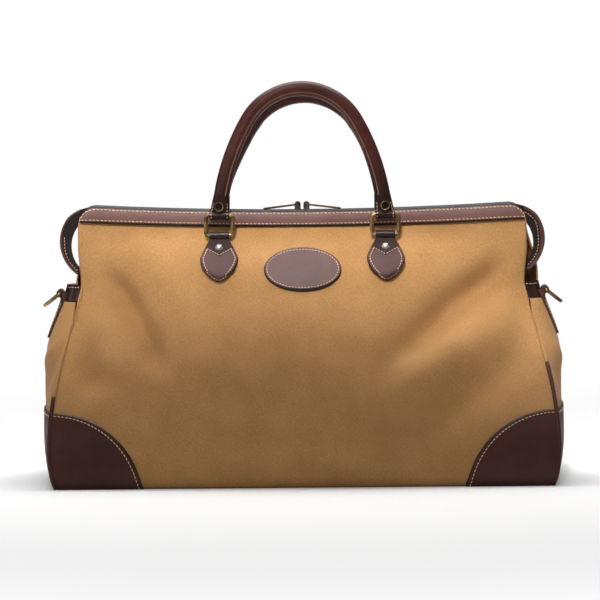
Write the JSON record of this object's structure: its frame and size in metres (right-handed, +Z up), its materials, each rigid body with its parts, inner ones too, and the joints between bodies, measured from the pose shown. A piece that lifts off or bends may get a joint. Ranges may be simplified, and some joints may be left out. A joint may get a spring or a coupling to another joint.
{
  "type": "doctor bag",
  "caption": "Soft doctor bag with a hinged frame mouth, zip, leather trim, two rolled handles on rings and a D-ring on each end",
  "frame": {"origin": "bottom centre of the bag on the surface it stands on", "axes": "+X along the bag to the right end, -Y out of the front with the oval patch, +Z up"},
  "size_m": [0.542, 0.252, 0.4133],
  "materials": {
    "canvas": "tan cotton canvas, bonded to its lining",
    "base_leather": "dark brown leather base",
    "board": "stiff base board",
    "frame_steel": "spring steel strip, covered by the band",
    "rivet_steel": "domed nickel-plated rivets",
    "zip_metal": "silver zip teeth and sliders",
    "antique_brass": "antique brass, dark in the recesses",
    "zip_tape": "black woven tape",
    "cord": "twisted cord inside the grip",
    "handle_leather": "dark brown smooth leather",
    "patch_leather": "dark brown leather with contrast stitching",
    "gusset_leather": "brown leather foot of the ends",
    "trim_leather": "brown leather trim with contrast stitching"
  },
  "bodies": {
    "bag": {"back_panel_lower": "canvas", "back_piping": "trim_leather", "base_board": "board", "base_panel": "base_leather", "corner_patch_back_left": "patch_leather", "corner_patch_back_right": "patch_leather", "corner_patch_front_left": "patch_leather", "corner_patch_front_right": "patch_leather", "front_panel_lower": "canvas", "front_piping": "trim_leather", "left_gusset": "canvas", "left_gusset_foot": "gusset_leather", "left_hinge_cover": "trim_leather", "left_hinge_rivet": "rivet_steel", "left_ring_tab": "trim_leather", "right_gusset": "canvas", "right_gusset_foot": "gusset_leather", "right_hinge_cover": "trim_leather", "right_hinge_rivet": "rivet_steel", "right_ring_tab": "trim_leather"},
    "front_frame": {"front_frame_bar": "frame_steel", "front_panel_upper": "canvas", "front_top_band": "trim_leather", "front_leg_bindings": "trim_leather", "front_zip_tape": "zip_tape", "front_zip_teeth": "zip_metal", "front_zip_ends": "trim_leather", "front_chape_left": "trim_leather", "front_chape_right": "trim_leather", "front_chape_rivets": "rivet_steel", "front_badge": "patch_leather"},
    "back_frame": {"back_frame_bar": "frame_steel", "back_panel_upper": "canvas", "back_top_band": "trim_leather", "back_leg_bindings": "trim_leather", "back_zip_tape": "zip_tape", "back_zip_teeth": "zip_metal", "back_zip_ends": "trim_leather", "back_chape_left": "trim_leather", "back_chape_right": "trim_leather", "back_chape_rivets": "rivet_steel"},
    "front_rings": {"front_ring_left": "antique_brass", "front_ring_right": "antique_brass"},
    "front_handle": {"front_handle_grip": "handle_leather", "front_handle_core": "cord", "front_handle_ends": "handle_leather", "front_handle_studs": "antique_brass"},
    "back_rings": {"back_ring_left": "antique_brass", "back_ring_right": "antique_brass"},
    "back_handle": {"back_handle_grip": "handle_leather", "back_handle_core": "cord", "back_handle_ends": "handle_leather", "back_handle_studs": "antique_brass"},
    "zip_slider_left_body": {"zip_slider_left": "zip_metal"},
    "zip_pull_left_body": {"zip_pull_left": "antique_brass"},
    "left_dring_body": {"left_dring": "antique_brass"},
    "zip_slider_right_body": {"zip_slider_right": "zip_metal"},
    "zip_pull_right_body": {"zip_pull_right": "antique_brass"},
    "right_dring_body": {"right_dring": "antique_brass"}
  },
  "joints": [
    {"name": "front_frame_hinge", "type": "hinge", "parent": "bag", "child": "front_frame", "pos_m": [0, 0, 0.192], "axis": [1, 0, 0], "range_deg": [0, 60]},
    {"name": "back_frame_hinge", "type": "hinge", "parent": "bag", "child": "back_frame", "pos_m": [0, 0, 0.192], "axis": [-1, 0, 0], "range_deg": [0, 60]},
    {"name": "front_ring_hinge", "type": "hinge", "parent": "front_frame", "child": "front_rings", "pos_m": [0, -0.03075, 0.254], "axis": [-1, 0, 0], "range_deg": [-110, 0]},
    {"name": "front_handle_hinge", "type": "hinge", "parent": "front_rings", "child": "front_handle", "pos_m": [0, -0.02894, 0.27462], "axis": [-1, 0, 0], "range_deg": [-40, 0]},
    {"name": "back_ring_hinge", "type": "hinge", "parent": "back_frame", "child": "back_rings", "pos_m": [0, 0.03075, 0.254], "axis": [1, 0, 0], "range_deg": [-110, 0]},
    {"name": "back_handle_hinge", "type": "hinge", "parent": "back_rings", "child": "back_handle", "pos_m": [0, 0.02894, 0.27462], "axis": [1, 0, 0], "range_deg": [-40, 0]},
    {"name": "left_slider_travel", "type": "slide", "parent": "front_frame", "child": "zip_slider_left_body", "axis": [-0.9996, 0, 0.0268], "range_m": [0, 0.195]},
    {"name": "left_pull_hinge", "type": "hinge", "parent": "zip_slider_left_body", "child": "zip_pull_left_body", "pos_m": [-0.0046, 0, 0.28435], "axis": [0, 1, 0], "range_deg": [0, 120]},
    {"name": "left_dring_hinge", "type": "hinge", "parent": "bag", "child": "left_dring_body", "pos_m": [-0.2527, 0, 0.194], "axis": [0, 1, 0], "range_deg": [-24, 110]},
    {"name": "right_slider_travel", "type": "slide", "parent": "front_frame", "child": "zip_slider_right_body", "axis": [0.9996, 0, 0.0268], "range_m": [0, 0.195]},
    {"name": "right_pull_hinge", "type": "hinge", "parent": "zip_slider_right_body", "child": "zip_pull_right_body", "pos_m": [0.0046, 0, 0.28435], "axis": [0, -1, 0], "range_deg": [0, 120]},
    {"name": "right_dring_hinge", "type": "hinge", "parent": "bag", "child": "right_dring_body", "pos_m": [0.2527, 0, 0.194], "axis": [0, -1, 0], "range_deg": [-24, 110]}
  ]
}
